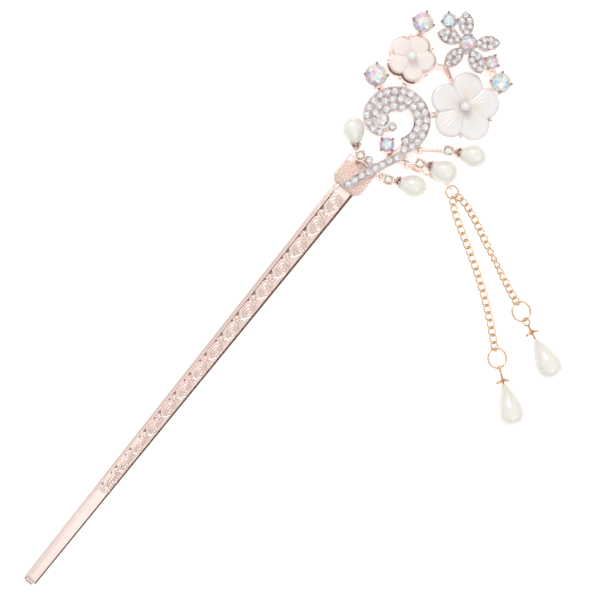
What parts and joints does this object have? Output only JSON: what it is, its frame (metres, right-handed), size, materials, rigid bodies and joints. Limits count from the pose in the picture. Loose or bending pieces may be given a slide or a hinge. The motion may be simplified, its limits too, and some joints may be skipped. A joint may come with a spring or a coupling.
{
  "type": "decorative hair pin",
  "caption": "Long flat hair pin with a swirl of set stones, carved shell flowers, crystals and pearl buds on its head, and curb chains that end in pearl drops.",
  "frame": {"origin": "centre of the collar's flat back face", "axes": "+Y along the shaft from the tip towards the decorated head, +Z out of the decorated side"},
  "size_m": [0.0854, 0.1809, 0.0078],
  "materials": {
    "rose_gold": "polished rose gold plating",
    "gold": "polished gold plating",
    "clear_stone": "faceted and foil backed",
    "opal_crystal": "faceted with an iridescent coating",
    "yellow_crystal": "faceted and foil backed",
    "pearl": "pearl lustre",
    "pink_shell": "carved mother of pearl, satin",
    "white_shell": "carved mother of pearl, satin"
  },
  "bodies": {
    "pin": {"shaft": "rose_gold", "collar_plate": "rose_gold", "back_frame": "rose_gold", "hang_loop": "rose_gold", "swirl_setting": "rose_gold", "swirl_stones": "clear_stone", "stem_stones": "clear_stone", "pave_flower_setting": "rose_gold", "pave_flower_stones": "clear_stone", "flower_hub_crystal": "opal_crystal", "small_flower_tray": "rose_gold", "small_shell_flower": "pink_shell", "small_flower_bead": "pearl", "large_flower_tray": "rose_gold", "large_shell_flower": "white_shell", "large_flower_bead": "pearl", "top_left_cup": "rose_gold", "top_cup": "rose_gold", "left_cup": "rose_gold", "right_small_cup": "rose_gold", "right_large_cup": "rose_gold", "swirl_cup": "rose_gold", "top_left_crystal": "opal_crystal", "top_crystal": "opal_crystal", "left_crystal": "opal_crystal", "right_small_crystal": "opal_crystal", "right_large_crystal": "opal_crystal", "swirl_crystal": "opal_crystal", "pearl_branch_left": "rose_gold", "pearl_branch_upper": "rose_gold", "pearl_branch_middle": "rose_gold", "pearl_branch_lower": "rose_gold", "branch_pearl_left": "pearl", "branch_pearl_upper": "pearl", "branch_pearl_middle": "pearl", "branch_pearl_lower": "pearl", "branch_crystals": "yellow_crystal"},
    "top_jump_ring": {"top_jump_ring": "gold"},
    "left_chain_1": {"left_chain_1": "gold"},
    "left_chain_2": {"left_chain_2": "gold"},
    "left_chain_3": {"left_chain_3": "gold"},
    "left_chain_4": {"left_chain_4": "gold"},
    "left_chain_5": {"left_chain_5": "gold"},
    "left_chain_6": {"left_chain_6": "gold"},
    "left_chain_7": {"left_chain_7": "gold"},
    "left_end_ring": {"left_end_ring": "gold"},
    "left_drop": {"left_eye_pin": "gold", "left_bead_cap": "gold", "left_drop_pearl": "pearl"},
    "right_chain_1": {"right_chain_1": "gold"},
    "right_chain_2": {"right_chain_2": "gold"},
    "right_chain_3": {"right_chain_3": "gold"},
    "right_chain_4": {"right_chain_4": "gold"},
    "right_chain_5": {"right_chain_5": "gold"},
    "right_chain_6": {"right_chain_6": "gold"},
    "right_end_ring": {"right_end_ring": "gold"},
    "right_drop": {"right_eye_pin": "gold", "right_bead_cap": "gold", "right_drop_pearl": "pearl"}
  },
  "joints": [
    {"name": "top_ring_swing", "type": "hinge", "parent": "pin", "child": "top_jump_ring", "pos_m": [0.0204, 0.0132, 0.00109], "axis": [0, 0, 1], "range_deg": [-30, 30]},
    {"name": "left_chain_1_swing", "type": "hinge", "parent": "top_jump_ring", "child": "left_chain_1", "pos_m": [0.02302, 0.01152, 0.00061], "axis": [0.6957, 0.633, 0.3395], "range_deg": [-22, 22]},
    {"name": "left_chain_2_swing", "type": "hinge", "parent": "left_chain_1", "child": "left_chain_2", "pos_m": [0.02695, 0.00828, 0.00069], "axis": [0.3193, 0.5332, -0.7834], "range_deg": [-22, 22]},
    {"name": "left_chain_3_swing", "type": "hinge", "parent": "left_chain_2", "child": "left_chain_3", "pos_m": [0.03242, 0.00508, 0.00069], "axis": [-0.3711, -0.6479, -0.6652], "range_deg": [-22, 22]},
    {"name": "left_chain_4_swing", "type": "hinge", "parent": "left_chain_3", "child": "left_chain_4", "pos_m": [0.03689, 0.00244, 0.00069], "axis": [-0.3738, -0.5923, 0.7137], "range_deg": [-22, 22]},
    {"name": "left_chain_5_swing", "type": "hinge", "parent": "left_chain_4", "child": "left_chain_5", "pos_m": [0.04219, -0.00102, 0.0007], "axis": [0.3929, 0.5844, 0.71], "range_deg": [-22, 22]},
    {"name": "left_chain_6_swing", "type": "hinge", "parent": "left_chain_5", "child": "left_chain_6", "pos_m": [0.04638, -0.00407, 0.00072], "axis": [0.4599, 0.5766, -0.6753], "range_deg": [-22, 22]},
    {"name": "left_chain_7_swing", "type": "hinge", "parent": "left_chain_6", "child": "left_chain_7", "pos_m": [0.0513, -0.00806, 0.00082], "axis": [-0.4007, -0.5013, -0.7669], "range_deg": [-22, 22]},
    {"name": "left_end_ring_swing", "type": "hinge", "parent": "left_chain_7", "child": "left_end_ring", "pos_m": [0.05556, -0.01193, 0.00108], "axis": [-0.315, -0.411, -0.8555], "range_deg": [-20, 20]},
    {"name": "left_drop_swing", "type": "hinge", "parent": "left_end_ring", "child": "left_drop", "pos_m": [0.05902, -0.01456, 0.00108], "axis": [-0.5888, -0.7536, 0.2924], "range_deg": [-40, 40]},
    {"name": "right_chain_1_swing", "type": "hinge", "parent": "top_jump_ring", "child": "right_chain_1", "pos_m": [0.02348, 0.01263, 0.00109], "axis": [-0.0503, 0.9369, 0.3461], "range_deg": [-22, 22]},
    {"name": "right_chain_2_swing", "type": "hinge", "parent": "right_chain_1", "child": "right_chain_2", "pos_m": [0.02805, 0.01195, 0.00079], "axis": [0.2212, 0.5821, -0.7824], "range_deg": [-22, 22]},
    {"name": "right_chain_3_swing", "type": "hinge", "parent": "right_chain_2", "child": "right_chain_3", "pos_m": [0.03343, 0.00958, 0.00076], "axis": [-0.3164, -0.6746, -0.667], "range_deg": [-22, 22]},
    {"name": "right_chain_4_swing", "type": "hinge", "parent": "right_chain_3", "child": "right_chain_4", "pos_m": [0.03769, 0.0075, 0.00088], "axis": [-0.0903, -0.1179, 0.9889], "range_deg": [-12, 22]},
    {"name": "right_chain_5_swing", "type": "hinge", "parent": "right_chain_4", "child": "right_chain_5", "pos_m": [0.04301, 0.005, 0.001], "axis": [0.4196, 0.9076, -0.0141], "range_deg": [-22, 22]},
    {"name": "right_chain_6_swing", "type": "hinge", "parent": "right_chain_5", "child": "right_chain_6", "pos_m": [0.04734, 0.00308, 0.00094], "axis": [0.2526, 0.5903, -0.7666], "range_deg": [-22, 14]},
    {"name": "right_end_ring_swing", "type": "hinge", "parent": "right_chain_6", "child": "right_end_ring", "pos_m": [0.05278, 0.00084, 0.00109], "axis": [-0.1694, -0.5373, -0.8262], "range_deg": [-16, 16]},
    {"name": "right_drop_swing", "type": "hinge", "parent": "right_end_ring", "child": "right_drop", "pos_m": [0.05668, -0.00107, 0.00108], "axis": [-0.4117, -0.8631, 0.2924], "range_deg": [-40, 40]}
  ]
}
